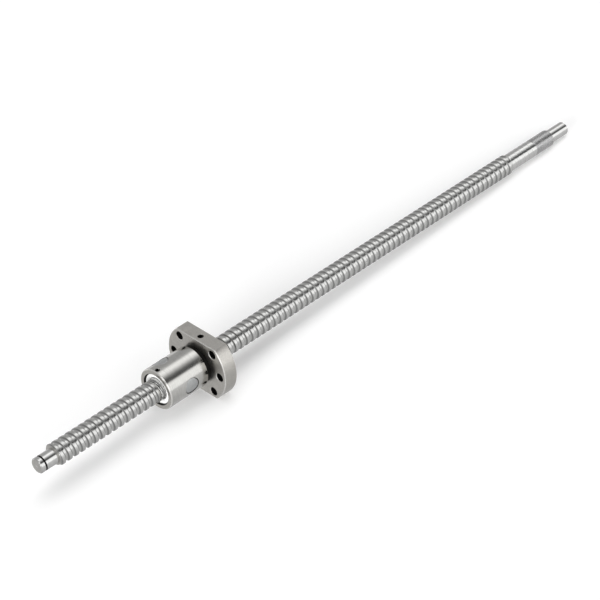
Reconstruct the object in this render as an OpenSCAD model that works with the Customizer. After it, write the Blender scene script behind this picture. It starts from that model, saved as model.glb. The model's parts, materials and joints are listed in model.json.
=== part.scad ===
// Rolled ball screw with a flanged internal-return ball nut and turned ends.
// Millimetres. The screw lies along X, Z is up.
// Origin: on the screw axis, at the shoulder between the floating-end journal and the thread.
// The nut is modelled where it was parked; it travels and turns along the same helix as the groove.

/* [Thread] */
// Lead, the travel for one turn of the nut
lead = 4; // [2:1:10]
// Whole turns of thread between the two shoulders
turns = 84; // [20:1:300]
// Diameter over the rolled crests
crest_d = 11.6; // [8:0.1:16]
// Diameter at the bottom of the ball groove
root_d = 9.8; // [6:0.1:14]
// Width of the groove at the crest
groove_w = 2.6; // [1.5:0.1:4]
// Width of the flat at the bottom of the groove
groove_floor_w = 1.2; // [0.4:0.1:2]
// Flat steps for one turn of the groove
thread_steps = 16; // [12:1:18]

/* [Floating end] */
// Diameter of the journal for the floating bearing
float_d = 8; // [5:0.5:12]
// Length of that journal
float_len = 10; // [6:0.5:20]
// Diameter at the bottom of the retaining ring groove
ring_groove_d = 7.6; // [5:0.1:11]
// Width of the retaining ring groove
ring_groove_w = 0.9; // [0.7:0.05:1.5]
// Distance from the shoulder to the near wall of that groove
ring_groove_at = 6.8; // [5:0.1:12]

/* [Fixed end] */
// Diameter of the seat for the fixed bearings
seat_d = 10; // [7:0.5:14]
// Length of the ground seat
seat_len = 23; // [10:1:40]
// Diameter of the thread for the bearing lock nut, taken over its crests
lock_d = 9.9; // [6:0.1:14]
// Length of the lock nut thread
lock_len = 16; // [8:1:30]
// Pitch of the lock nut thread, whose ridges are plain rings
lock_pitch = 1; // [0.5:0.25:1.5]
// Depth of those ridges
lock_depth = 0.6; // [0.3:0.05:0.9]
// Diameter of the drive journal for the coupling
drive_d = 8; // [5:0.5:12]
// Length of the drive journal
drive_len = 15; // [8:1:40]

/* [Nut] */
// Distance from the origin to the nut's front face
nut_at = 64; // [4:1:230]
// Whole length of the nut with its flange
nut_len = 35; // [30:1:60]
// Diameter of the nut's ground body
body_d = 22; // [20:0.5:30]
// Diameter of the flange
flange_d = 40; // [36:1:60]
// Thickness of the flange
flange_t = 8; // [5:1:14]
// Height of the flange over its two flats
flats_h = 30; // [26:1:44]
// Bolt circle diameter
bolt_pcd = 32; // [28:1:48]
// Bolt hole diameter
bolt_d = 4.5; // [3:0.1:7]
// Oil hole diameter
oil_d = 3; // [2:0.5:6]
// Diameter of the through bore between the ball grooves
bore_d = 13; // [12.4:0.1:14]
// Diameter of the recesses that hold the wipers
recess_d = 16.6; // [15:0.1:18]
// Depth of the front wiper recess
recess_front = 4.2; // [3:0.1:6]
// Depth of the rear wiper recess
recess_rear = 2.6; // [2:0.1:4]
// Diameter of the grinding relief beside the flange
relief_d = 20.2; // [18:0.1:21.6]
// Width of the grinding relief
relief_w = 2.6; // [1:0.1:4]

/* [Balls] */
// Ball diameter
ball_d = 2.381; // [1.5:0.001:4]
// Diameter of the circle through the ball centres in the groove
ball_circle_d = 12.3; // [10:0.05:16]
// Number of closed ball circuits
circuits = 3; // [1:1:3]
// Distance from the nut's front face to the middle of the first circuit
circuit_at = 8.333; // [7:0.001:12]
// Direction of the first return piece, degrees from Y towards Z
first_return = 60; // [0:1:360]
// Diameter of each return piece
return_d = 8.4; // [7:0.1:10]
// Depth of each return piece below the nut's outside
return_sunk = 0.2; // [0:0.05:0.5]

/* [Wipers] */
// Bore of the wipers, which clears the crests
wiper_bore = 12; // [11.8:0.1:13]
// Gap between a wiper and its recess
wiper_gap = 0.1; // [0.02:0.01:0.3]
// Depth of the front wiper's face below the nut's front face
wiper_sunk = 0.9; // [0.2:0.1:2]
// Diameter of the hole that keys the front wiper
key_hole_d = 2; // [1:0.1:3]
// Diameter of the wiper's key stud
key_d = 1.3; // [0.8:0.1:2.5]
// Distance from the nut's front face to the key hole
key_at = 1.9; // [1.5:0.1:3]

/* [Hidden] */
$fn = 96;

thread_len = lead * turns;
crest_r = crest_d / 2;
root_r = root_d / 2;
inset = 1.5;
relief_shoulder_w = 0.4;
relief_shoulder_r = root_r - 0.4;
edge = 0.5;
small_edge = 0.3;
lock_r = lock_d / 2;
lock_root_r = lock_r - lock_depth;
body_len = nut_len - flange_t;
body_r = body_d / 2;
flange_r = flange_d / 2;
bore_r = bore_d / 2;
recess_r = recess_d / 2;
relief_r = relief_d / 2;
oil_at = body_len + 3.6;
past = 1;
// Turns the nut's blank about X, so that the start of its round faces clears the holes.
blank_turn = -12;

ball_r = ball_d / 2;
ball_circle_r = ball_circle_d / 2;
channel_r = ball_r + 0.12;
over_r = crest_r + ball_r + 0.11;
return_r = return_d / 2;
seam = 0.05;
turn_between = 120;
circuit_step = lead * (1 + turn_between / 360);

// The crossover covers half this many degrees on each side of the return piece.
cross = 90;
ball_step = 22.5;
path_steps = 32;
tube_sides = 8;

// Groove centres lie at groove_phase + lead * (k + angle / 360).
first_x = nut_at + circuit_at;
groove_raw = first_x + lead / 2 - lead * first_return / 360;
groove_phase = groove_raw - lead * floor(groove_raw / lead);

// ---------- the thread ----------

offsets = [-groove_w / 2, -groove_floor_w / 2, groove_floor_w / 2, groove_w / 2];
first_k = -2;
columns = len(offsets) * (turns + 1 - first_k);

function groove_r(away) = lookup(abs(away), [
    [0, root_r],
    [groove_floor_w / 2, root_r],
    [groove_w / 2, crest_r],
    [lead, crest_r]]);

function nearest(x, angle) =
    let (s = (x - groove_phase) / lead - angle / 360) (s - round(s)) * lead;

function raw_x(i, j) =
    groove_phase
    + lead * (first_k + floor(j / len(offsets)) + i / thread_steps)
    + offsets[j % len(offsets)];

function cut_x(i, j) = max(0, min(thread_len, raw_x(i, j)));

function thread_point(i, j) =
    let (a = 360 * i / thread_steps, x = cut_x(i, j), r = groove_r(nearest(x, a)))
    [x, r * cos(a), r * sin(a)];

// All the columns beyond an end share that end's first or last column.
function own(i, j) =
    raw_x(i, j) <= 0 ? i * columns
    : raw_x(i, j) >= thread_len ? i * columns + columns - 1
    : i * columns + j;

function index(i, j) =
    i < thread_steps ? own(i, j) : own(0, min(j + len(offsets), columns - 1));

function real(t) = t[0] != t[1] && t[1] != t[2] && t[0] != t[2];

module thread_core() {
    cap_a = thread_steps * columns;
    cap_b = cap_a + 1;
    points = concat(
        [for (i = [0:thread_steps - 1]) for (j = [0:columns - 1]) thread_point(i, j)],
        [[0, 0, 0], [thread_len, 0, 0]]);
    wall = [for (i = [0:thread_steps - 1]) for (j = [0:columns - 2])
        for (t = [
            [index(i, j), index(i + 1, j + 1), index(i + 1, j)],
            [index(i, j), index(i, j + 1), index(i + 1, j + 1)]])
        if (real(t)) t];
    caps = [for (i = [0:thread_steps - 1])
        for (t = [
            [cap_a, index(i, 0), index(i + 1, 0)],
            [cap_b, index(i + 1, columns - 1), index(i, columns - 1)]])
        t];
    polyhedron(points = points, faces = concat(wall, caps), convexity = 10);
}

// ---------- helpers ----------

// Turns a profile of [radius, distance along X] points about the X axis.
module turned(profile) {
    rotate([0, 90, 0]) rotate_extrude() polygon(profile);
}

// A bar from radius lo to radius hi, pointing away from the axis at an angle from Y towards Z.
module radial(x, angle, r, lo, hi) {
    translate([x, 0, 0]) rotate([angle, 0, 0]) translate([0, lo, 0])
        rotate([-90, 0, 0]) cylinder(r = r, h = hi - lo);
}

function return_angle(k) = first_return + turn_between * k;
function circuit_x(k) = first_x + circuit_step * k;

// Lift of the ball path above the groove: 0 in the groove, 1 over the crest.
function lift(u) = abs(u) >= cross / 2 ? 0 : sin(min(90, 150 * (1 - 2 * abs(u) / cross)));

// The ball path of one circuit, at u degrees from its return piece, from -180 to 180.
function path_r(u) = ball_circle_r + (over_r - ball_circle_r) * lift(u);
function path_x(u) =
    abs(u) <= cross / 2
    ? -lead * (0.5 - cross / 720) * sin(180 * u / cross)
    : lead * u / 360 - sign(u) * lead / 2;

function path_point(k, u) =
    let (a = return_angle(k) + u, r = path_r(u))
    [circuit_x(k) + path_x(u), r * cos(a), r * sin(a)];

function tube_point(k, s, m) =
    let (
        u = 360 * s / path_steps - 180,
        a = return_angle(k) + u,
        t = 360 * (m + 0.5) / tube_sides,
        out = channel_r / cos(180 / tube_sides),
        r = path_r(u) + out * cos(t),
        x = circuit_x(k) + path_x(u) + out * sin(t))
    [x, r * cos(a), r * sin(a)];

function tube_index(s, m) = (s % path_steps) * tube_sides + m % tube_sides;

// The closed passage that one circuit of balls runs in.
module ball_passage(k) {
    points = [for (s = [0:path_steps - 1]) for (m = [0:tube_sides - 1]) tube_point(k, s, m)];
    faces = [for (s = [0:path_steps - 1]) for (m = [0:tube_sides - 1])
        for (t = [
            [tube_index(s, m), tube_index(s, m + 1), tube_index(s + 1, m + 1)],
            [tube_index(s, m), tube_index(s + 1, m + 1), tube_index(s + 1, m)]])
        t];
    polyhedron(points = points, faces = faces, convexity = 6);
}

module ball(k, u) {
    translate(path_point(k, u)) sphere(r = ball_r, $fn = 32);
}

// ---------- the pieces ----------

// One ridge of the lock nut thread, as three profile points.
function ridge(start, i) = [
    [lock_root_r, start + (i + 0.1) * lock_pitch],
    [lock_r, start + (i + 0.5) * lock_pitch],
    [lock_root_r, start + (i + 0.9) * lock_pitch]];

module screw_shaft() {
    seat_end = thread_len + seat_len;
    lock_end = seat_end + lock_len;
    ridges = [for (i = [0:lock_len / lock_pitch - 1]) for (p = ridge(seat_end, i)) p];
    tip = lock_end + drive_len;
    color([0.72, 0.72, 0.71]) union() {
        thread_core();
        turned([
            [0, -float_len],
            [float_d / 2 - edge, -float_len],
            [float_d / 2, edge - float_len],
            [float_d / 2, -ring_groove_at - ring_groove_w],
            [ring_groove_d / 2, -ring_groove_at - ring_groove_w],
            [ring_groove_d / 2, -ring_groove_at],
            [float_d / 2, -ring_groove_at],
            [float_d / 2, inset],
            [0, inset]]);
        turned(concat(
            [[0, thread_len - inset],
                [relief_shoulder_r, thread_len - inset],
                [relief_shoulder_r, thread_len + relief_shoulder_w],
                [seat_d / 2, thread_len + relief_shoulder_w],
                [seat_d / 2, seat_end - small_edge],
                [seat_d / 2 - small_edge, seat_end],
                [lock_root_r, seat_end]],
            ridges,
            [[lock_root_r, lock_end],
                [drive_d / 2, lock_end],
                [drive_d / 2, tip - edge],
                [drive_d / 2 - edge, tip],
                [0, tip]]));
    }
}

module nut_blank() {
    translate([nut_at, 0, 0]) rotate([blank_turn, 0, 0]) turned([
        [recess_r + small_edge, 0],
        [body_r - edge, 0],
        [body_r, edge],
        [body_r, body_len - relief_w],
        [relief_r, body_len - relief_w + small_edge],
        [relief_r, body_len],
        [flange_r - edge, body_len],
        [flange_r, body_len + edge],
        [flange_r, nut_len - edge],
        [flange_r - edge, nut_len],
        [recess_r, nut_len],
        [recess_r, nut_len - recess_rear],
        [bore_r, nut_len - recess_rear],
        [bore_r, recess_front],
        [recess_r, recess_front],
        [recess_r, small_edge]]);
}

module nut_body() {
    color([0.62, 0.61, 0.58]) difference() {
        nut_blank();
        for (side = [-1, 1]) {
            translate([nut_at + body_len - past, -flange_d / 2, side * flats_h])
                translate([0, 0, -flats_h / 2])
                cube([flange_t + 2 * past, flange_d, flats_h]);
        }
        for (a = [0, 45, 135, 180, 225, 315]) {
            translate([nut_at + body_len - past, bolt_pcd / 2 * cos(a), bolt_pcd / 2 * sin(a)])
                rotate([0, 90, 0]) cylinder(d = bolt_d, h = flange_t + 2 * past);
        }
        radial(nut_at + oil_at, 90, oil_d / 2, bore_r - past, flats_h / 2 + past);
        radial(nut_at + key_at, 90, key_hole_d / 2, recess_r - past, body_r + past);
        for (k = [0:circuits - 1]) {
            radial(circuit_x(k), return_angle(k), return_r, 0, body_r + past);
            ball_passage(k);
        }
    }
}

module front_wiper() {
    r = recess_r - wiper_gap;
    color([0.92, 0.92, 0.9]) union() {
        translate([nut_at, 0, 0]) turned([
            [wiper_bore / 2, wiper_sunk],
            [r - small_edge, wiper_sunk],
            [r, wiper_sunk + small_edge],
            [r, recess_front - wiper_gap],
            [wiper_bore / 2, recess_front - wiper_gap]]);
        radial(nut_at + key_at, 90, key_d / 2, r - small_edge, body_r - edge);
    }
}

module rear_wiper() {
    color([0.92, 0.92, 0.9]) translate([nut_at + nut_len - recess_rear, 0, 0]) turned([
        [wiper_bore / 2, wiper_gap],
        [recess_r - wiper_gap, wiper_gap],
        [recess_r - wiper_gap, recess_rear - 2 * small_edge],
        [recess_r - wiper_gap - small_edge, recess_rear - small_edge],
        [wiper_bore / 2, recess_rear - small_edge]]);
}

module return_piece(k) {
    color([0.75, 0.75, 0.74]) difference() {
        intersection() {
            radial(circuit_x(k), return_angle(k), return_r - seam, 0, body_r + past);
            translate([circuit_x(k) - return_d, 0, 0]) turned([
                [bore_r, 0],
                [body_r - return_sunk, 0],
                [body_r - return_sunk, 2 * return_d],
                [bore_r, 2 * return_d]]);
        }
        ball_passage(k);
    }
}

module loaded_balls(k) {
    color([0.85, 0.85, 0.85])
        for (u = [cross / 2:ball_step:180]) {
            ball(k, u);
            if (u < 180) ball(k, -u);
        }
}

module returning_balls(k) {
    color([0.85, 0.85, 0.85])
        for (u = [-ball_step, 0, ball_step]) ball(k, u);
}

screw_shaft();
nut_body();
front_wiper();
rear_wiper();
return_piece(0);  // return_piece_1
return_piece(1);  // return_piece_2
return_piece(2);  // return_piece_3
loaded_balls(0);  // loaded_balls_1
loaded_balls(1);  // loaded_balls_2
loaded_balls(2);  // loaded_balls_3
returning_balls(0);  // returning_balls_1
returning_balls(1);  // returning_balls_2
returning_balls(2);  // returning_balls_3
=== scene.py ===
"""Looks for the ball screw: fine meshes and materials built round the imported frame.

Lengths are millimetres in the frame's axes, and MM turns them into Blender's metres.
The screw lies along X. Angles round it run from Y towards Z, in degrees.
"""
import json
import math

import bmesh
import bpy
from mathutils import Matrix, Vector


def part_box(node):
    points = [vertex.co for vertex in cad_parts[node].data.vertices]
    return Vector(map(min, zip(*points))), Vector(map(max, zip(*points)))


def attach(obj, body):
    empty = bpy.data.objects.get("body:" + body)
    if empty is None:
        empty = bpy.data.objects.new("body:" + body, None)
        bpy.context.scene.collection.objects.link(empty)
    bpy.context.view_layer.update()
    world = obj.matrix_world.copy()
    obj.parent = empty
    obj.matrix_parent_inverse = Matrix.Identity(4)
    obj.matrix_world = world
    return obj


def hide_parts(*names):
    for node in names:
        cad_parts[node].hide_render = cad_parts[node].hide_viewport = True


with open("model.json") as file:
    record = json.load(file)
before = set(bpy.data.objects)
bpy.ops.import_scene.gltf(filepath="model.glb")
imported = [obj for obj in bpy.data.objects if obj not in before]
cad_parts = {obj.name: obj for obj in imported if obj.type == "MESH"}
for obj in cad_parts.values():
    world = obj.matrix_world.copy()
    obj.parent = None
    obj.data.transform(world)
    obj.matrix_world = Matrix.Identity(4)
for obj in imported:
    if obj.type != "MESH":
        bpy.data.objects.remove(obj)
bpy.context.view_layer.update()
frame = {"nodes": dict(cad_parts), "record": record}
record = frame["record"]
MM = 0.001
mounts = {m["name"]: m for m in record["mounts"]}


def span(node):
    """Lowest and highest corner of a CAD node, in millimetres."""
    low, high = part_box(node)
    return low / MM, high / MM


def mount_r(name):
    return mounts[name]["dims"]["r_mm"]


# ---------- sizes of the screw, from the frame where it has them ----------

LEAD = 2 * math.pi / abs(record["behaviour"]["couplings"][0]["ratio"]) / MM
TURNS = 84
shaft_low, shaft_high = span("screw_shaft")
FRONT_TIP, REAR_TIP = shaft_low.x, shaft_high.x
FLOAT_R = mount_r("floating_journal")
SEAT_R = mount_r("fixed_bearing_seat")
DRIVE_R = mount_r("drive_journal")
CREST_R, ROOT_R, NECK_R = 5.8, 4.93, 4.5
THREAD_START, THREAD_END = 0.0, TURNS * LEAD
# The seat's length includes the neck between the thread and the seat.
NECK_LENGTH, SEAT_LENGTH, LOCK_LENGTH = 0.4, 23, 16
SEAT_START, SEAT_END = THREAD_END + NECK_LENGTH, THREAD_END + SEAT_LENGTH
LOCK_END = SEAT_END + LOCK_LENGTH
LOCK_R, LOCK_DEPTH, LOCK_PITCH = 4.95, 0.3, 1.0
RING_START, RING_END, RING_R = -7.7, -6.8, 3.5
CENTRE_R, CENTRE_DEPTH = 0.7, 0.55
CHAMFER, THREAD_CHAMFER, SEAT_CHAMFER, LOCK_CHAMFER = 0.5, 0.35, 0.3, 0.45

# ---------- sizes of the nut ----------

nut_low, nut_high = span("nut_body")
NUT_FRONT, NUT_REAR = nut_low.x, nut_high.x
BODY_R = mount_r("nut_pilot")
FLANGE_R, FLAT_H = nut_high.y, nut_high.z
FLANGE_FACE = mounts["flange_face"]["pos_m"][0] / MM
FLANGE_EDGE, RECESS_EDGE = 0.4, 0.3
BOLT_R = mounts["flange_bolts_level"]["dims"]["hole_r_mm"]
BOLT_CIRCLE_R = mounts["flange_bolts_level"]["dims"]["spacing_x_mm"] / 2
BOLT_ANGLES = (0, 45, 135, 180, 225, 315)
BORE_R, RECESS_R, RELIEF_R = 6.5, 8.3, 10.1
RELIEF_WIDTH, FRONT_RECESS, REAR_RECESS = 2.6, 4.2, 2.6
RELIEF_START = FLANGE_FACE - RELIEF_WIDTH
RECESS_FRONT, RECESS_REAR = NUT_FRONT + FRONT_RECESS, NUT_REAR - REAR_RECESS
OIL_X = mounts["oil_hole"]["pos_m"][0] / MM
OIL_R, OIL_FLOOR = mount_r("oil_hole"), 5.4
KEY_SETBACK, KEY_R, KEY_FLOOR = 1.9, 1.2, 7.6
KEY_X = NUT_FRONT + KEY_SETBACK
STUD_R, STUD_TOP, STUD_SIDES = 0.5, 9.5, 32

# ---------- sizes of the balls and their returns ----------

BALL_R, BALL_CIRCLE_R = 2.381 / 2, 6.15
CREST_GAP, CHANNEL_GAP, RETURN_GAP, RETURN_SINK = 0.11, 0.12, 0.18, 0.2
# A ball crosses back over the crest in CROSS degrees round the screw, at OVER_R from its axis.
CROSS = 90.0
OVER_R = CREST_R + BALL_R + CREST_GAP
CHANNEL_R = BALL_R + CHANNEL_GAP
RETURN_R, RETURN_TOP = 4.15, BODY_R - RETURN_SINK
RETURN_ANGLES = (60, 180, 300)


def return_x(k):
    """Where the middle of a return piece is along the screw."""
    low, high = span(f"return_piece_{k + 1}")
    return (low.x + high.x) / 2


# Where the groove's middle is along the screw at angle 0, within one lead.
GROOVE_PHASE = (return_x(0) + LEAD / 2 - LEAD * RETURN_ANGLES[0] / 360) % LEAD

# ---------- camera ----------

# The camera's place in millimetres, and the directions of its right and its view.
CAMERA_AT = Vector((-352.63, -494.937, 532.42)) * MM
CAMERA_RIGHT = Vector((0.68526, -0.72822, -0.01114))
CAMERA_FORWARD = Vector((0.57907, 0.55405, -0.59809))
LENS, SENSOR = 104.41, 36.0


def make_camera():
    data = bpy.data.cameras.new("camera")
    data.lens, data.sensor_width = LENS, SENSOR
    data.clip_start, data.clip_end = 0.01, 20.0
    camera = bpy.data.objects.new("camera", data)
    bpy.context.scene.collection.objects.link(camera)
    axes = (CAMERA_RIGHT, CAMERA_RIGHT.cross(CAMERA_FORWARD), -CAMERA_FORWARD)
    turn = Matrix([[a[i] for a in axes] for i in range(3)]).to_4x4()
    camera.matrix_world = Matrix.Translation(CAMERA_AT) @ turn
    bpy.context.scene.camera = camera


# ---------- node helpers ----------


def add(tree, kind, **values):
    """A new node. Keys that name an input socket set it, and others set a property."""
    made = tree.nodes.new(kind)
    for key, value in values.items():
        if key in made.inputs:
            made.inputs[key].default_value = value
        else:
            setattr(made, key, value)
    return made


def noise(tree, coords, scale, detail=3.0):
    """Noise with its own scale along X, Y and Z, in cells per metre."""
    mapping = add(tree, "ShaderNodeMapping", Scale=scale)
    tree.links.new(coords.outputs["Object"], mapping.inputs["Vector"])
    texture = add(tree, "ShaderNodeTexNoise", Scale=1.0, Detail=detail, Roughness=0.6)
    tree.links.new(mapping.outputs["Vector"], texture.inputs["Vector"])
    return texture.outputs["Fac"]


def between(tree, factor, low, high):
    """Maps noise, which lies mostly between 0.3 and 0.7, to low to high."""
    made = add(tree, "ShaderNodeMapRange")
    made.inputs["From Min"].default_value = 0.3
    made.inputs["From Max"].default_value = 0.7
    made.inputs["To Min"].default_value = low
    made.inputs["To Max"].default_value = high
    tree.links.new(factor, made.inputs["Value"])
    return made.outputs["Result"]


def tinted(tree, color, factors):
    """The colour multiplied by each of the grey factors."""
    last = None
    for factor in factors:
        mix = add(tree, "ShaderNodeVectorMath", operation="SCALE")
        if last is None:
            mix.inputs[0].default_value = color
        else:
            tree.links.new(last, mix.inputs[0])
        tree.links.new(factor, mix.inputs["Scale"])
        last = mix.outputs["Vector"]
    return last


# ---------- materials ----------

# Noise scales along X, Y and Z, in cells per metre. Turned parts have lines round X.
ROUND_LINES = (2800, 160, 160)
LONG_GRAIN = (900, 500, 500)
GRAIN = (1500, 1500, 1500)
PATCHES = (130, 260, 260)
SPECKS = (2600, 2600, 2600)


def surface(name, color, roughness, marks, marks_um, spread, blotch, grit, metallic=1.0):
    """A material with machining marks or grain, broad patches of wear, and speckle.

    marks is the noise scale of the marks and marks_um their height in micrometres.
    spread, blotch and grit are how much marks, patches and speckle vary the brightness.
    """
    material = bpy.data.materials.new(name)
    material.use_nodes = True
    tree = material.node_tree
    shader = tree.nodes["Principled BSDF"]
    shader.inputs["Metallic"].default_value = metallic
    coords = add(tree, "ShaderNodeTexCoord")
    fine = noise(tree, coords, marks)
    patch = noise(tree, coords, PATCHES, 4.0)
    speck = noise(tree, coords, SPECKS, 2.0)
    shades = [
        between(tree, fine, 1 - spread, 1 + spread),
        between(tree, patch, 1 - blotch, 1 + blotch),
        between(tree, speck, 1 - grit, 1 + grit),
    ]
    tree.links.new(tinted(tree, color, shades), shader.inputs["Base Color"])
    low, high = roughness
    tree.links.new(between(tree, patch, low, high), shader.inputs["Roughness"])
    height = add(tree, "ShaderNodeMath", operation="ADD")
    tree.links.new(fine, height.inputs[0])
    tree.links.new(between(tree, speck, 0.0, 2 * grit), height.inputs[1])
    bump = add(tree, "ShaderNodeBump", Strength=1.0, Distance=marks_um * 1e-6)
    tree.links.new(height.outputs["Value"], bump.inputs["Height"])
    tree.links.new(bump.outputs["Normal"], shader.inputs["Normal"])
    return material


crest = surface(
    "rolled_crest", (0.60, 0.60, 0.59), roughness=(0.17, 0.28),
    marks=GRAIN, marks_um=0.7, spread=0.05, blotch=0.07, grit=0.05)
groove = surface(
    "rolled_groove", (0.56, 0.56, 0.55), roughness=(0.10, 0.18),
    marks=LONG_GRAIN, marks_um=0.3, spread=0.04, blotch=0.07, grit=0.03)
# Darker steel on the thread's steep walls: painted shade in the creases of the groove, with a rougher
# finish of its own.
groove_wall_shade = surface(
    "groove_wall_shade", (0.33, 0.33, 0.325), roughness=(0.30, 0.40),
    marks=GRAIN, marks_um=1.0, spread=0.05, blotch=0.07, grit=0.05)
journal = surface(
    "ground_journal", (0.63, 0.63, 0.62), roughness=(0.11, 0.18),
    marks=ROUND_LINES, marks_um=0.4, spread=0.05, blotch=0.04, grit=0.02)
end_face = surface(
    "turned_end_face", (0.56, 0.55, 0.53), roughness=(0.38, 0.5),
    marks=GRAIN, marks_um=3.0, spread=0.06, blotch=0.08, grit=0.08)
lock_thread = surface(
    "cut_lock_thread", (0.50, 0.50, 0.50), roughness=(0.20, 0.30),
    marks=ROUND_LINES, marks_um=0.6, spread=0.06, blotch=0.08, grit=0.05)
nut_ground = surface(
    "ground_nut_body", (0.56, 0.555, 0.535), roughness=(0.14, 0.21),
    marks=ROUND_LINES, marks_um=0.5, spread=0.06, blotch=0.05, grit=0.03)
nut_satin = surface(
    "satin_flange", (0.53, 0.515, 0.485), roughness=(0.28, 0.38),
    marks=GRAIN, marks_um=3.0, spread=0.08, blotch=0.07, grit=0.10)
# Near-black steel: painted shade inside the bores, holes, recesses, relief and ring groove, where shade
# falls.
painted_recess_shade = surface(
    "painted_shade_nut_bores", (0.02, 0.02, 0.019), roughness=(0.45, 0.6),
    marks=ROUND_LINES, marks_um=1.5, spread=0.1, blotch=0.1, grit=0.05)
# Light steel on the chamfers: a painted highlight, a glint along the nut's edges.
painted_glint = surface(
    "painted_edge_glint", (0.86, 0.85, 0.82), roughness=(0.22, 0.30),
    marks=GRAIN, marks_um=1.0, spread=0.04, blotch=0.04, grit=0.04)
insert_metal = surface(
    "return_insert", (0.50, 0.51, 0.51), roughness=(0.40, 0.52),
    marks=GRAIN, marks_um=4.0, spread=0.08, blotch=0.06, grit=0.10)
white_plastic = surface(
    "wiper_plastic", (0.92, 0.92, 0.91), roughness=(0.42, 0.55),
    marks=GRAIN, marks_um=3.0, spread=0.02, blotch=0.02, grit=0.02, metallic=0.0)
ball_polish = surface(
    "ball_polish", (0.78, 0.78, 0.78), roughness=(0.05, 0.10),
    marks=GRAIN, marks_um=0.1, spread=0.02, blotch=0.02, grit=0.01)

# ---------- mesh helpers ----------

# WELD is in metres. Edges that turn by more than SHARP are shaded as edges.
WELD = 1e-7
SHARP = math.radians(38)


def as_object(name, points, faces, weld=True):
    """A mesh object from points in millimetres, welded if asked, with its faces turned outward."""
    mesh = bpy.data.meshes.new(name)
    mesh.from_pydata([Vector(p) * MM for p in points], [], faces)
    shape = bmesh.new()
    shape.from_mesh(mesh)
    if weld:
        bmesh.ops.remove_doubles(shape, verts=shape.verts, dist=WELD)
        bmesh.ops.dissolve_degenerate(shape, edges=shape.edges, dist=WELD)
    bmesh.ops.recalc_face_normals(shape, faces=shape.faces)
    shape.to_mesh(mesh)
    shape.free()
    made = bpy.data.objects.new(name, mesh)
    bpy.context.scene.collection.objects.link(made)
    return made


def finish_piece(piece, body, nodes, materials, choose=None):
    """Shades the piece, gives each face its material, and puts it on its body.

    choose returns a face's material. Without it the whole piece has the first one.
    """
    mesh = piece.data
    mesh.materials.clear()
    for material in materials:
        mesh.materials.append(material)
    for face in mesh.polygons:
        face.use_smooth = True
        face.material_index = materials.index(choose(face)) if choose else 0
    mesh.set_sharp_from_angle(angle=SHARP)
    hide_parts(*nodes)
    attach(piece, body)


def grid_faces(rings, count, closed):
    """Quads between rings of count points each. A closed grid joins the last ring to the first."""
    faces = []
    for i in range(rings if closed else rings - 1):
        here, there = i * count, (i + 1) % rings * count
        for j in range(count):
            k = (j + 1) % count
            faces.append((here + j, here + k, there + k, there + j))
    return faces


def turned_points(profile, angles, origin=(0, 0, 0), turn=None):
    """Rings about X through (distance along X, radius) profile points."""
    points = []
    for x, r in profile:
        for a in angles:
            p = Vector((x, r * math.cos(a), r * math.sin(a)))
            points.append((turn @ p if turn else p) + Vector(origin))
    return points


def even_angles(count):
    return [2 * math.pi * j / count for j in range(count)]


def spindle(profile, sides, origin=(0, 0, 0), turn=None):
    """Points and faces of a closed turned solid, whose profile starts and ends off the axis."""
    points = turned_points(profile, even_angles(sides), origin, turn)
    faces = grid_faces(len(profile), sides, closed=False)
    faces.append(tuple(range(sides)))
    faces.append(tuple(range((len(profile) - 1) * sides, len(profile) * sides)))
    return points, faces


def radial_turn(angle):
    """Turns X so that it points away from the axis at this angle."""
    a = math.radians(angle)
    out = Vector((0, math.cos(a), math.sin(a)))
    along = Vector((1, 0, 0))
    side = out.cross(along)
    return Matrix([[out[i], along[i], side[i]] for i in range(3)])


def join_parts(parts):
    """One list of points and faces from several."""
    points, faces = [], []
    for more_points, more_faces in parts:
        start = len(points)
        points += more_points
        faces += [tuple(i + start for i in f) for f in more_faces]
    return points, faces


def carve(piece, parts):
    """Cuts the closed shapes in parts out of the piece."""
    cutter = as_object("cutter", *join_parts(parts), weld=False)
    cut = piece.modifiers.new("cut", "BOOLEAN")
    cut.operation, cut.solver, cut.object = "DIFFERENCE", "EXACT", cutter
    graph = bpy.context.evaluated_depsgraph_get()
    mesh = bpy.data.meshes.new_from_object(piece.evaluated_get(graph))
    piece.modifiers.clear()
    piece.data = mesh
    bpy.data.objects.remove(cutter)


# A face is an end face when its normal has more than END_TILT along X, and a groove's wall
# from WALL_TILT. TOUCH is how near, in millimetres, a face counts as lying on a size.
END_TILT, WALL_TILT, TOUCH = 0.9, 0.5, 0.01

# ---------- the screw ----------

STEPS = 36
LAND_MARGIN, END_MARGIN = 0.09, 0.1


def thread_half():
    """Half of the groove and land, from the groove's middle to the land's middle."""
    return [
        (0, ROOT_R), (0.45, ROOT_R + 0.01), (0.66, ROOT_R + 0.08), (0.86, ROOT_R + 0.30),
        (1.08, CREST_R - 0.22), (1.19, CREST_R - 0.06), (1.30, CREST_R), (1.40, CREST_R),
        (LEAD / 2, CREST_R),
    ]


def trace_half():
    """The shallow trace of the groove that grinding left on the seat."""
    return [
        (0, SEAT_R - 0.20), (0.22, SEAT_R - 0.17), (0.48, SEAT_R - 0.03),
        (0.60, SEAT_R), (0.70, SEAT_R), (LEAD / 2, SEAT_R),
    ]


def lock_half():
    """Half of the lock nut thread's groove and land."""
    half_root, half_land = 0.06, 0.27
    return [
        (0, LOCK_R - LOCK_DEPTH), (half_root, LOCK_R - LOCK_DEPTH),
        (LOCK_PITCH / 2 - half_land, LOCK_R), (LOCK_PITCH / 2, LOCK_R),
    ]


def radius_at(half, p):
    """Radius of the half profile at distance p from the groove's middle."""
    for (p0, r0), (p1, r1) in zip(half, half[1:]):
        if p <= p1:
            return r0 + (r1 - r0) * (p - p0) / (p1 - p0)
    return half[-1][1]


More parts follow.
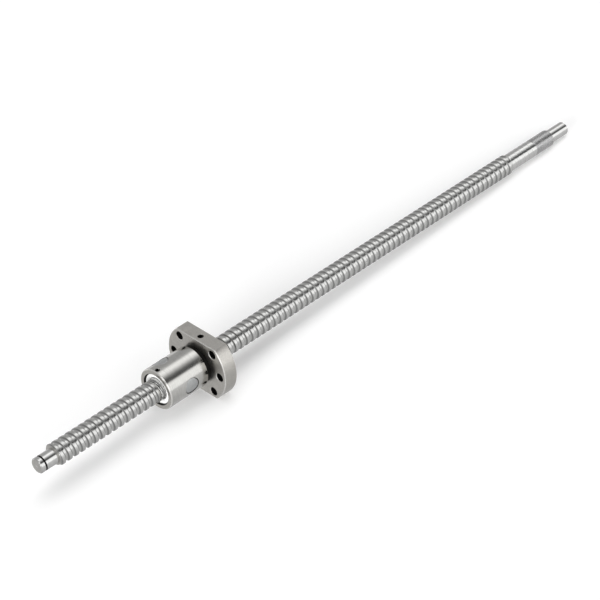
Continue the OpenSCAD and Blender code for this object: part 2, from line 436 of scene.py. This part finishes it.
def helical_row(turn, start, end, lead, half, chamfer):
    """(x, radius) points along a band of thread at this share of a turn.

    Every share has the same number of points: those past an end are held at its chamfer.
    """
    low, high, spare = start + chamfer, end - chamfer, 2
    whole = [(-p, r) for p, r in reversed(half[1:-1])] + half
    first = math.floor((start - GROOVE_PHASE) / lead) - spare
    last = math.ceil((end - GROOVE_PHASE) / lead) + spare
    row = []
    for k in range(first, last):
        centre = GROOVE_PHASE + lead * (k + turn)
        for p, r in whole:
            x = centre + p
            if not low < x < high:
                x = min(max(x, low), high)
                away = (x - GROOVE_PHASE) / lead - turn
                r = radius_at(half, abs(away - round(away)) * lead)
            row.append((x, r))
    top = half[-1][1] - chamfer
    return [(start, min(top, row[0][1])), *row, (end, min(top, row[-1][1]))]


def shaft_row(turn):
    """The shaft's whole profile, from tip to tip, at this share of a turn."""
    front = [
        (FRONT_TIP + CENTRE_DEPTH, 0.0), (FRONT_TIP, CENTRE_R),
        (FRONT_TIP, FLOAT_R - CHAMFER), (FRONT_TIP + CHAMFER, FLOAT_R),
        (RING_START, FLOAT_R), (RING_START, RING_R), (RING_END, RING_R), (RING_END, FLOAT_R),
        (THREAD_START, FLOAT_R),
    ]
    neck = [(THREAD_END, NECK_R), (SEAT_START, NECK_R), (SEAT_START, SEAT_R - SEAT_CHAMFER)]
    rear = [
        (LOCK_END, DRIVE_R),
        (REAR_TIP - CHAMFER, DRIVE_R), (REAR_TIP, DRIVE_R - CHAMFER),
        (REAR_TIP, CENTRE_R), (REAR_TIP - CENTRE_DEPTH, 0.0),
    ]
    return [
        *front,
        *helical_row(turn, THREAD_START, THREAD_END, LEAD, thread_half(), THREAD_CHAMFER),
        *neck,
        *helical_row(turn, SEAT_START, SEAT_END, LEAD, trace_half(), SEAT_CHAMFER),
        *helical_row(turn, SEAT_END, LOCK_END, LOCK_PITCH, lock_half(), LOCK_CHAMFER),
        *rear,
    ]


def shaft_material(face):
    """The material of a shaft face, from where it lies and how it is tilted."""
    x = face.center.x / MM
    r = math.hypot(face.center.y, face.center.z) / MM
    tilt = abs(face.normal.x)
    # The retaining ring's groove gets painted shade.
    if RING_START <= x <= RING_END and r < FLOAT_R - TOUCH:
        return painted_recess_shade
    if tilt > END_TILT and (x < THREAD_START + END_MARGIN or x > THREAD_END - END_MARGIN):
        return end_face
    if THREAD_START < x < THREAD_END:
        # Steep walls of the groove get painted shade.
        if tilt > WALL_TILT:
            return groove_wall_shade
        return crest if r > CREST_R - LAND_MARGIN else groove
    return lock_thread if SEAT_END < x < LOCK_END else journal


def make_shaft():
    """The whole shaft as one mesh, with STEPS rows of points round each turn."""
    rows = [shaft_row(j / STEPS) for j in range(STEPS + 1)]
    length = len(rows[0])
    points, faces = [], []
    for j, row in enumerate(rows):
        a = 2 * math.pi * j / STEPS
        points += [(x, r * math.cos(a), r * math.sin(a)) for x, r in row]
    for j in range(STEPS):
        here, there = j * length, (j + 1) * length
        for i in range(length - 1):
            faces.append((here + i, here + i + 1, there + i + 1, there + i))
    piece = as_object("threaded_shaft", points, faces)
    materials = [crest, groove, journal, end_face, lock_thread, painted_recess_shade, groove_wall_shade]
    finish_piece(piece, "screw", ["screw_shaft"], materials, shaft_material)


# ---------- the nut ----------

ARC_POINTS, FLAT_POINTS, BODY_STATIONS = 56, 40, 24
BOLT_MOUTH, OIL_MOUTH, KEY_MOUTH = 0.2, 0.25, 0.12
BOLT_SIDES, OIL_SIDES, KEY_SIDES, RETURN_SIDES = 48, 40, 36, 96
# LIFT_TURN is how many degrees of a sine the path climbs to its middle, held at 90.
LIFT_TURN = 150
# What tells the nut's faces apart: depths in millimetres, and shares of the normal.
OUTER_DEPTH, SKIN, OIL_MARGIN = 0.7, 0.05, 0.4
GROUND_OUTWARD, EDGE_OUTWARD, EDGE_TILT = 0.9, 0.3, 0.4


def outline(x, inset):
    """The flange's outline, a circle with two flats, set in by a distance."""
    r, h = FLANGE_R - inset, FLAT_H - inset
    corner = math.asin(h / r)
    half_flat = r * math.cos(corner)
    points = []
    for side in (1, -1):
        for i in range(ARC_POINTS):
            a = corner * (2 * i / ARC_POINTS - 1)
            points.append((x, side * r * math.cos(a), side * r * math.sin(a)))
        for i in range(FLAT_POINTS):
            points.append((x, side * half_flat * (1 - 2 * i / FLAT_POINTS), side * h))
    return points


def lift(u):
    """Share of the way up from the groove to over the crest, u degrees from the return piece."""
    if abs(u) >= CROSS / 2:
        return 0.0
    return math.sin(math.radians(min(90, LIFT_TURN * (1 - 2 * abs(u) / CROSS))))


def path_at(k, u):
    """(x, radius, angle) of the ball path of circuit k, u degrees from its return piece."""
    r = BALL_CIRCLE_R + (OVER_R - BALL_CIRCLE_R) * lift(u)
    if abs(u) <= CROSS / 2:
        x = -LEAD * (0.5 - CROSS / 720) * math.sin(math.radians(180 * u / CROSS))
    else:
        x = LEAD * u / 360 - math.copysign(LEAD / 2, u)
    return return_x(k) + x, r, math.radians(RETURN_ANGLES[k] + u)


def ball_passage(k, steps=96, sides=16):
    """The closed tube that the balls of circuit k run in."""
    points = []
    for s in range(steps):
        x, r, a = path_at(k, 360 * s / steps - 180)
        for t in even_angles(sides):
            out = r + CHANNEL_R * math.cos(t)
            points.append((x + CHANNEL_R * math.sin(t), out * math.cos(a), out * math.sin(a)))
    return points, grid_faces(steps, sides, closed=True)


def chamfered_hole(low, high, r, mouth, both):
    """Profile of a hole cutter along X, with its mouths opened by mouth."""
    past = 0.5
    wide = r + mouth + past
    start = [(low - past, wide), (low + mouth, r)] if both else [(low, r)]
    return start + [(high - mouth, r), (high + past, wide)]


def bolt_axes():
    """(y, z) of each bolt hole."""
    turns = [math.radians(angle) for angle in BOLT_ANGLES]
    return [(BOLT_CIRCLE_R * math.cos(a), BOLT_CIRCLE_R * math.sin(a)) for a in turns]


def nut_shell():
    """The nut body with its flange, bore and recesses, before the cross holes."""
    angles = [math.atan2(z, y) for _, y, z in outline(0, 0)]
    start, end = NUT_FRONT + CHAMFER, RELIEF_START - RECESS_EDGE
    body = [(NUT_FRONT, BODY_R - CHAMFER), (start, BODY_R)]
    for i in range(1, BODY_STATIONS + 1):
        body.append((start + (end - start) * i / BODY_STATIONS, BODY_R))
    body += [(RELIEF_START, BODY_R - RECESS_EDGE), (RELIEF_START, RELIEF_R), (FLANGE_FACE, RELIEF_R)]
    flange = [
        (FLANGE_FACE, FLANGE_EDGE), (FLANGE_FACE + FLANGE_EDGE, 0.0),
        (NUT_REAR - FLANGE_EDGE, 0.0), (NUT_REAR, FLANGE_EDGE),
    ]
    inner = [
        (NUT_REAR, RECESS_R + RECESS_EDGE), (NUT_REAR - RECESS_EDGE, RECESS_R),
        (RECESS_REAR, RECESS_R), (RECESS_REAR, BORE_R),
        (RECESS_FRONT, BORE_R), (RECESS_FRONT, RECESS_R),
        (NUT_FRONT + RECESS_EDGE, RECESS_R), (NUT_FRONT, RECESS_R + RECESS_EDGE),
    ]
    points = turned_points(body, angles)
    for x, inset in flange:
        points += outline(x, inset)
    points += turned_points(inner, angles)
    count = len(body) + len(flange) + len(inner)
    return as_object("flanged_nut_body", points, grid_faces(count, len(angles), closed=True))


def nut_holes():
    """Cutters for the bolt, oil, key and return holes."""
    bolt_hole = chamfered_hole(FLANGE_FACE, NUT_REAR, BOLT_R, BOLT_MOUTH, both=True)
    parts = [spindle(bolt_hole, BOLT_SIDES, (0, y, z)) for y, z in bolt_axes()]
    up = radial_turn(90)
    oil_hole = chamfered_hole(OIL_FLOOR, FLAT_H, OIL_R, OIL_MOUTH, both=False)
    key_hole = chamfered_hole(KEY_FLOOR, BODY_R, KEY_R, KEY_MOUTH, both=False)
    parts.append(spindle(oil_hole, OIL_SIDES, (OIL_X, 0, 0), up))
    parts.append(spindle(key_hole, KEY_SIDES, (KEY_X, 0, 0), up))
    return_hole = [(1.0, RETURN_R + RETURN_GAP), (BODY_R + 1, RETURN_R + RETURN_GAP)]
    for k, angle in enumerate(RETURN_ANGLES):
        parts.append(spindle(return_hole, RETURN_SIDES, (return_x(k), 0, 0), radial_turn(angle)))
    return parts


def in_flange_hole(x, y, z):
    """Whether a place, in millimetres, is inside a bolt hole or the oil hole."""
    in_bolt_hole = any(math.hypot(y - by, z - bz) < BOLT_R + TOUCH for by, bz in bolt_axes())
    in_oil_hole = math.hypot(x - OIL_X, y) < OIL_R + TOUCH and 0 < z < FLAT_H - TOUCH
    return x > FLANGE_FACE and (in_bolt_hole or in_oil_hole)


def nut_material(face):
    """The material of a nut face: ground outside, painted highlights on the edges, painted shade in the
    holes and recesses, satin for the rest.
    """
    x, y, z = face.center / MM
    r = math.hypot(y, z)
    tilt = abs(face.normal.x)
    outward = (face.normal.y * y + face.normal.z * z) / r
    # The relief groove before the flange gets painted shade.
    if RELIEF_START - END_MARGIN <= x <= FLANGE_FACE + TOUCH and r < BODY_R - SKIN:
        return painted_recess_shade
    near_outside = r > BODY_R - OUTER_DEPTH
    if x < RELIEF_START and near_outside and outward > GROUND_OUTWARD:
        return nut_ground
    if tilt > END_TILT:
        return nut_satin
    near_oil_hole = z > 0 and math.hypot(x - OIL_X, y) < OIL_R + OIL_MARGIN
    # Chamfers facing outward get the painted highlight.
    if tilt > EDGE_TILT and outward > EDGE_OUTWARD and near_outside and not near_oil_hole:
        return painted_glint
    # The bore, recesses, bolt holes and oil hole get painted shade.
    if r < RECESS_R + SKIN or (x < RELIEF_START and r < BODY_R) or in_flange_hole(x, y, z):
        return painted_recess_shade
    return nut_satin


def make_nut():
    piece = nut_shell()
    carve(piece, nut_holes())
    carve(piece, [ball_passage(k) for k in range(len(RETURN_ANGLES))])
    materials = [nut_ground, nut_satin, painted_recess_shade, painted_glint]
    finish_piece(piece, "nut", ["nut_body"], materials, nut_material)


def make_return_piece(k):
    """A round insert that follows the nut's outside, with the ball passage through it."""
    sides, top_edge, overlap = 72, 0.25, 0.1
    turn = radial_turn(RETURN_ANGLES[k])
    at = Vector((return_x(k), 0, 0))
    radii = (0.01, 1.2, 2.4, 3.4, RETURN_R - top_edge)
    # Each ring is (radius in the insert, radius of the surface it follows, drop below it).
    rings = [(rho, RETURN_TOP, 0.0) for rho in radii]
    rings += [(RETURN_R, RETURN_TOP, top_edge), (RETURN_R, BORE_R, -overlap)]
    rings += [(rho, BORE_R, 0.0) for rho in reversed(radii)]
    points = []
    for rho, surface_r, drop in rings:
        for t in even_angles(sides):
            along, across = rho * math.cos(t), rho * math.sin(t)
            height = math.sqrt(surface_r ** 2 - across ** 2) - drop
            points.append(turn @ Vector((height, along, across)) + at)
    faces = grid_faces(len(rings), sides, closed=False)
    faces.append(tuple(range(sides)))
    faces.append(tuple(range((len(rings) - 1) * sides, len(rings) * sides)))
    piece = as_object(f"return_insert_{k + 1}", points, faces, weld=False)
    carve(piece, [ball_passage(k)])
    finish_piece(piece, "nut", [f"return_piece_{k + 1}"], [insert_metal])


def wiper_ring(face, back, outward):
    """Points and faces of a wiper from its outer face, which looks along X by outward, to its back."""
    def deep(d):
        return face - outward * d

    outer, bore, sides = RECESS_R - 0.1, 6.0, 128
    profile = [
        (back, bore), (deep(0.5), bore), (deep(0.3), bore + 0.15),
        (deep(0.3), bore + 0.4), (deep(0.08), bore + 0.5), (deep(0), bore + 0.6),
        (deep(0), outer - 0.4), (deep(0.12), outer - 0.12), (deep(0.4), outer), (back, outer),
    ]
    points = turned_points(profile, even_angles(sides))
    return points, grid_faces(len(profile), sides, closed=True)


def make_wipers():
    low, high = span("front_wiper")
    stud_profile = [
        (RECESS_R - 0.35, STUD_R), (STUD_TOP - 0.2, STUD_R),
        (STUD_TOP - 0.05, STUD_R - 0.08), (STUD_TOP, STUD_R - 0.3),
    ]
    stud = spindle(stud_profile, STUD_SIDES, (KEY_X, 0, 0), radial_turn(90))
    front = join_parts([wiper_ring(low.x, high.x, -1), stud])
    piece = as_object("white_front_wiper", *front, weld=False)
    finish_piece(piece, "nut", ["front_wiper"], [white_plastic])

    low, high = span("rear_wiper")
    piece = as_object("white_rear_wiper", *wiper_ring(high.x, low.x, 1), weld=False)
    finish_piece(piece, "follower_ring", ["rear_wiper"], [white_plastic])


def dress_balls():
    """The CAD balls stay, and get their polish here."""
    for name, node in frame["nodes"].items():
        if "balls" in name:
            node.data.materials.clear()
            node.data.materials.append(ball_polish)
            for face in node.data.polygons:
                face.use_smooth = True


# ---------- studio ----------

FLOOR_R, FLOOR_WHITE, FLOOR_ROUGHNESS, FLOOR_GLOW = 1500.0, 0.9, 0.9, 0.16
REST_X, REST_Z = NUT_REAR, -FLAT_H
FLOOR_SLOPE = (FLAT_H - DRIVE_R) / (REAR_TIP - REST_X)


def make_floor():
    """A white floor under the flange's rear edge and the drive end, where the part rests."""
    sides = 96
    points = [(REST_X, 0, REST_Z)]
    for a in even_angles(sides):
        x, y = FLOOR_R * math.cos(a), FLOOR_R * math.sin(a)
        points.append((REST_X + x, y, REST_Z + FLOOR_SLOPE * x))
    faces = [(0, j + 1, (j + 1) % sides + 1) for j in range(sides)]
    floor = as_object("floor", points, faces, weld=False)
    material = bpy.data.materials.new("white_floor")
    material.use_nodes = True
    shader = material.node_tree.nodes["Principled BSDF"]
    shader.inputs["Base Color"].default_value = (FLOOR_WHITE,) * 3 + (1,)
    shader.inputs["Roughness"].default_value = FLOOR_ROUGHNESS
    shader.inputs["Specular IOR Level"].default_value = 0.0
    shader.inputs["Emission Color"].default_value = (1, 1, 1, 1)
    shader.inputs["Emission Strength"].default_value = FLOOR_GLOW
    floor.data.materials.append(material)
    floor.visible_glossy = False


# The studio is a fan of light round one axis: a soft overhead strip, a dark gap, and a wide
# panel on the camera's side that starts with a crisp edge. Each stop is (degrees, brightness).
FAN_AXIS = Vector((0.9755, 0.1545, -0.1564)).normalized()
FAN_STOPS = (
    (-180, 0.50), (-90, 0.52), (-46, 0.47), (-27, 0.53), (-20, 0.80), (-13, 1.42), (0, 1.42),
    (10, 0.98), (19, 0.50), (29, 0.16), (45, 0.08), (52, 1.30), (59, 1.42), (100, 1.42),
    (130, 0.9), (180, 0.50),
)
FAN_TOP = 1.6
# What polished metal sees of the floor, from straight down to the horizon.
FLOOR_STOPS = ((0.0, 0.54), (0.5, 0.68), (0.85, 0.78), (1.0, 0.90))
BACKDROP = 1.05


def ramp(tree, stops, factor):
    """A colour ramp over factor with grey stops of (position, brightness), divided by FAN_TOP."""
    made = add(tree, "ShaderNodeValToRGB")
    elements = made.color_ramp.elements
    while len(elements) < len(stops):
        elements.new(0.5)
    for element, (position, level) in zip(elements, stops):
        element.position = position
    for element, (position, level) in zip(elements, stops):
        element.color = (level / FAN_TOP,) * 3 + (1,)
    tree.links.new(factor, made.inputs["Fac"])
    return made.outputs["Color"]


def fan_light(tree, coords):
    """Light by the direction's angle round FAN_AXIS, from straight up."""
    up = (Vector((0, 0, 1)) - FAN_AXIS * FAN_AXIS.z).normalized()
    side = FAN_AXIS.cross(up)
    angle = add(tree, "ShaderNodeMath", operation="ARCTAN2")
    for i, axis in enumerate((side, up)):
        dot = add(tree, "ShaderNodeVectorMath", operation="DOT_PRODUCT")
        dot.inputs[1].default_value = axis
        tree.links.new(coords.outputs["Generated"], dot.inputs[0])
        tree.links.new(dot.outputs["Value"], angle.inputs[i])
    share = add(tree, "ShaderNodeMapRange")
    share.inputs["From Min"].default_value = -math.pi
    share.inputs["From Max"].default_value = math.pi
    tree.links.new(angle.outputs["Value"], share.inputs["Value"])
    stops = [((degrees + 180) / 360, level) for degrees, level in FAN_STOPS]
    return ramp(tree, stops, share.outputs["Result"])


def floor_light(tree, height):
    """Light from below the horizon, by how high the direction points."""
    depth = add(tree, "ShaderNodeMath", operation="ADD")
    depth.inputs[1].default_value = 1.0
    tree.links.new(height, depth.inputs[0])
    return ramp(tree, FLOOR_STOPS, depth.outputs["Value"])


def make_world():
    """The fan above the horizon and the floor's light below it, with a white backdrop for the camera."""
    world = bpy.data.worlds.new("studio")
    bpy.context.scene.world = world
    world.use_nodes = True
    tree = world.node_tree
    coords = add(tree, "ShaderNodeTexCoord")
    split = add(tree, "ShaderNodeSeparateXYZ")
    tree.links.new(coords.outputs["Generated"], split.inputs["Vector"])
    height = split.outputs["Z"]
    above = add(tree, "ShaderNodeMath", operation="GREATER_THAN")
    above.inputs[1].default_value = 0.0
    tree.links.new(height, above.inputs[0])
    # Of a colour mix's sockets, 0 is the factor, 6 and 7 the colours, and output 2 the result.
    both = add(tree, "ShaderNodeMix", data_type="RGBA")
    tree.links.new(above.outputs["Value"], both.inputs[0])
    tree.links.new(floor_light(tree, height), both.inputs[6])
    tree.links.new(fan_light(tree, coords), both.inputs[7])
    background = tree.nodes["Background"]
    tree.links.new(both.outputs[2], background.inputs["Color"])
    background.inputs["Strength"].default_value = FAN_TOP

    seen = add(tree, "ShaderNodeBackground", Strength=BACKDROP)
    seen.inputs["Color"].default_value = (1, 1, 1, 1)
    path = add(tree, "ShaderNodeLightPath")
    mix = add(tree, "ShaderNodeMixShader")
    tree.links.new(path.outputs["Is Camera Ray"], mix.inputs["Fac"])
    tree.links.new(background.outputs["Background"], mix.inputs[1])
    tree.links.new(seen.outputs["Background"], mix.inputs[2])
    tree.links.new(mix.outputs["Shader"], tree.nodes["World Output"].inputs["Surface"])


def add_sun(name, toward, energy, softness):
    """A broad light that shines in a direction. Glossy surfaces don't see it."""
    data = bpy.data.lights.new(name, "SUN")
    data.energy = energy
    data.angle = math.radians(softness)
    light = bpy.data.objects.new(name, data)
    light.rotation_euler = Vector(toward).to_track_quat("-Z", "Y").to_euler()
    light.visible_glossy = False
    bpy.context.scene.collection.objects.link(light)


def make_lights():
    add_sun("overhead", toward=(0, -0.06, -1), energy=0.35, softness=40)
    add_sun("front_fill", toward=(1, 0.25, -0.15), energy=2.2, softness=25)


make_camera()
make_shaft()
make_nut()
for circuit in range(len(RETURN_ANGLES)):
    make_return_piece(circuit)
make_wipers()
dress_balls()
make_floor()
make_world()
make_lights()
bpy.context.scene.view_settings.view_transform = "Standard"
